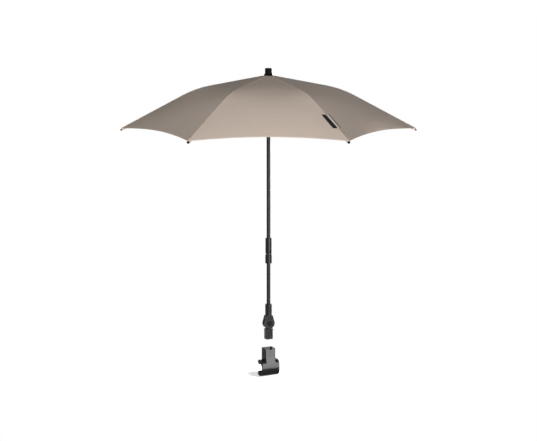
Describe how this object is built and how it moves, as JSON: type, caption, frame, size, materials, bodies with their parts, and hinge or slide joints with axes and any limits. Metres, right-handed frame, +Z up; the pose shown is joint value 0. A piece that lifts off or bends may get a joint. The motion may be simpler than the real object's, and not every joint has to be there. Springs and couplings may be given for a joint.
{
  "type": "pram parasol",
  "caption": "Pram parasol: folding ribbed fabric canopy on a jointed pole, with a tilting plug-in foot and a clip for a round tube.",
  "frame": {"origin": "centre of the clip's jaw, on the axis of the pram's tube", "axes": "+X along the pram's tube, +Z up the pole, the clip's flat front faces -Y"},
  "size_m": [0.653, 0.717, 0.7619],
  "materials": {
    "canopy_cloth": "plain-woven polyester",
    "frame_steel": "black enamel",
    "pole_paint": "black enamel",
    "joint_plastic": "moulded, satin",
    "clip_plastic": "moulded, satin",
    "button_plastic": "moulded, semi-gloss",
    "finial_plastic": "moulded, semi-gloss",
    "tip_plastic": "moulded",
    "grip_rubber": "soft grip",
    "hardware_steel": "zinc-plated"
  },
  "bodies": {
    "clip": {"clip_body": "clip_plastic", "clip_liner": "grip_rubber"},
    "foot": {"foot_plug": "joint_plastic"},
    "lower_pole": {"tilt_head": "joint_plastic", "tilt_axle": "hardware_steel", "tilt_nut": "hardware_steel", "tilt_spring": "hardware_steel", "lower_tube": "pole_paint", "elbow_lower": "joint_plastic"},
    "tilt_button": {"tilt_button": "button_plastic"},
    "upper_pole": {"elbow_upper": "joint_plastic", "elbow_pin": "hardware_steel", "upper_tube": "pole_paint", "crown": "joint_plastic", "crown_wire": "hardware_steel", "ferrule": "finial_plastic", "finial": "finial_plastic"},
    "runner": {"runner": "joint_plastic", "runner_wire": "hardware_steel"},
    "runner_button": {"runner_button": "button_plastic"},
    "rib_1": {"rib_1": "frame_steel", "rib_tip_1": "tip_plastic", "canopy_panel_1": "canopy_cloth"},
    "rib_2": {"rib_2": "frame_steel", "rib_tip_2": "tip_plastic", "canopy_panel_2": "canopy_cloth"},
    "rib_3": {"rib_3": "frame_steel", "rib_tip_3": "tip_plastic", "canopy_panel_3": "canopy_cloth"},
    "rib_4": {"rib_4": "frame_steel", "rib_tip_4": "tip_plastic", "canopy_panel_4": "canopy_cloth"},
    "rib_5": {"rib_5": "frame_steel", "rib_tip_5": "tip_plastic", "canopy_panel_5": "canopy_cloth"},
    "rib_6": {"rib_6": "frame_steel", "rib_tip_6": "tip_plastic", "canopy_panel_6": "canopy_cloth"},
    "stretcher_1": {"stretcher_1": "frame_steel"},
    "stretcher_2": {"stretcher_2": "frame_steel"},
    "stretcher_3": {"stretcher_3": "frame_steel"},
    "stretcher_4": {"stretcher_4": "frame_steel"},
    "stretcher_5": {"stretcher_5": "frame_steel"},
    "stretcher_6": {"stretcher_6": "frame_steel"}
  },
  "joints": [
    {"name": "foot_lift", "type": "slide", "parent": "clip", "child": "foot", "axis": [0, 0, 1], "range_m": [-0.0472, 0]},
    {"name": "foot_tilt", "type": "hinge", "parent": "foot", "child": "lower_pole", "pos_m": [0, 0, 0.1129], "axis": [0, 1, 0], "range_deg": [-90, 90]},
    {"name": "tilt_button_press", "type": "slide", "parent": "lower_pole", "child": "tilt_button", "axis": [0, 1, 0], "range_m": [0, 0.0012], "stiffness_N_per_m": 900},
    {"name": "elbow_bend", "type": "hinge", "parent": "lower_pole", "child": "upper_pole", "pos_m": [0, 0, 0.2929], "axis": [0, 1, 0], "range_deg": [0, 80]},
    {"name": "runner_slide", "type": "slide", "parent": "upper_pole", "child": "runner", "axis": [0, 0, 1], "range_m": [-0.1557, 0]},
    {"name": "runner_button_press", "type": "slide", "parent": "runner", "child": "runner_button", "axis": [0, 1, 0], "range_m": [0, 0.0016], "stiffness_N_per_m": 900},
    {"name": "rib_1_hinge", "type": "hinge", "parent": "upper_pole", "child": "rib_1", "pos_m": [0.00655, 0.00459, 0.7174], "axis": [-0.5736, 0.8192, 0], "range_deg": [0, 68.05], "deforming": ["canopy_panel_1"]},
    {"name": "rib_2_hinge", "type": "hinge", "parent": "upper_pole", "child": "rib_2", "pos_m": [-0.0007, 0.00797, 0.7174], "axis": [-0.9962, -0.0872, 0], "range_deg": [0, 68.05], "deforming": ["canopy_panel_2"]},
    {"name": "rib_3_hinge", "type": "hinge", "parent": "upper_pole", "child": "rib_3", "pos_m": [-0.00725, 0.00338, 0.7174], "axis": [-0.4226, -0.9063, 0], "range_deg": [0, 68.05], "deforming": ["canopy_panel_3"]},
    {"name": "rib_4_hinge", "type": "hinge", "parent": "upper_pole", "child": "rib_4", "pos_m": [-0.00655, -0.00459, 0.7174], "axis": [0.5736, -0.8192, 0], "range_deg": [0, 68.05], "deforming": ["canopy_panel_4"]},
    {"name": "rib_5_hinge", "type": "hinge", "parent": "upper_pole", "child": "rib_5", "pos_m": [0.0007, -0.00797, 0.7174], "axis": [0.9962, 0.0872, 0], "range_deg": [0, 68.05], "deforming": ["canopy_panel_5"]},
    {"name": "rib_6_hinge", "type": "hinge", "parent": "upper_pole", "child": "rib_6", "pos_m": [0.00725, -0.00338, 0.7174], "axis": [0.4226, 0.9063, 0], "range_deg": [0, 68.05], "deforming": ["canopy_panel_6"]},
    {"name": "stretcher_1_hinge", "type": "hinge", "parent": "runner", "child": "stretcher_1", "pos_m": [0.00819, 0.00574, 0.6239], "axis": [0.5736, -0.8192, 0], "range_deg": [0, 47.71]},
    {"name": "stretcher_2_hinge", "type": "hinge", "parent": "runner", "child": "stretcher_2", "pos_m": [-0.00087, 0.00996, 0.6239], "axis": [0.9962, 0.0872, 0], "range_deg": [0, 47.71]},
    {"name": "stretcher_3_hinge", "type": "hinge", "parent": "runner", "child": "stretcher_3", "pos_m": [-0.00906, 0.00423, 0.6239], "axis": [0.4226, 0.9063, 0], "range_deg": [0, 47.71]},
    {"name": "stretcher_4_hinge", "type": "hinge", "parent": "runner", "child": "stretcher_4", "pos_m": [-0.00819, -0.00574, 0.6239], "axis": [-0.5736, 0.8192, 0], "range_deg": [0, 47.71]},
    {"name": "stretcher_5_hinge", "type": "hinge", "parent": "runner", "child": "stretcher_5", "pos_m": [0.00087, -0.00996, 0.6239], "axis": [-0.9962, -0.0872, 0], "range_deg": [0, 47.71]},
    {"name": "stretcher_6_hinge", "type": "hinge", "parent": "runner", "child": "stretcher_6", "pos_m": [0.00906, -0.00423, 0.6239], "axis": [-0.4226, -0.9063, 0], "range_deg": [0, 47.71]}
  ],
  "couplings": [
    {"joint": "rib_1_hinge", "follows": "runner_slide", "rad_per_m": -7.6227},
    {"joint": "rib_2_hinge", "follows": "runner_slide", "rad_per_m": -7.6227},
    {"joint": "rib_3_hinge", "follows": "runner_slide", "rad_per_m": -7.6227},
    {"joint": "rib_4_hinge", "follows": "runner_slide", "rad_per_m": -7.6227},
    {"joint": "rib_5_hinge", "follows": "runner_slide", "rad_per_m": -7.6227},
    {"joint": "rib_6_hinge", "follows": "runner_slide", "rad_per_m": -7.6227},
    {"joint": "stretcher_1_hinge", "follows": "runner_slide", "rad_per_m": -5.3431},
    {"joint": "stretcher_2_hinge", "follows": "runner_slide", "rad_per_m": -5.3431},
    {"joint": "stretcher_3_hinge", "follows": "runner_slide", "rad_per_m": -5.3431},
    {"joint": "stretcher_4_hinge", "follows": "runner_slide", "rad_per_m": -5.3431},
    {"joint": "stretcher_5_hinge", "follows": "runner_slide", "rad_per_m": -5.3431},
    {"joint": "stretcher_6_hinge", "follows": "runner_slide", "rad_per_m": -5.3431}
  ]
}
